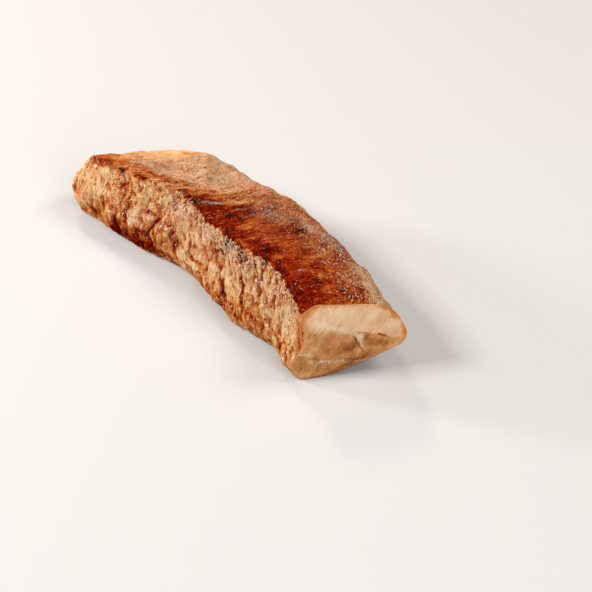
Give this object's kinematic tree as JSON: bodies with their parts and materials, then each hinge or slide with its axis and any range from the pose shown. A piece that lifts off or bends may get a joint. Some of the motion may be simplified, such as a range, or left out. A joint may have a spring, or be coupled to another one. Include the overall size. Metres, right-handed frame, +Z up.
{
  "type": "pork tenderloin",
  "caption": "Seared, glazed pork tenderloin with one end sliced off: a long browned muscle with a rounded blunt end and a flat pale cut end.",
  "frame": {"origin": "middle of the base of the bounding box, on the surface the meat rests on", "axes": "+X along the length towards the cut end, +Z up, +Y towards the side that the picture hides"},
  "size_m": [0.1942, 0.0704, 0.0403],
  "materials": {
    "seared_meat": "browned and glazed, half glossy"
  },
  "bodies": {
    "root": {"tenderloin": "seared_meat"}
  },
  "joints": []
}
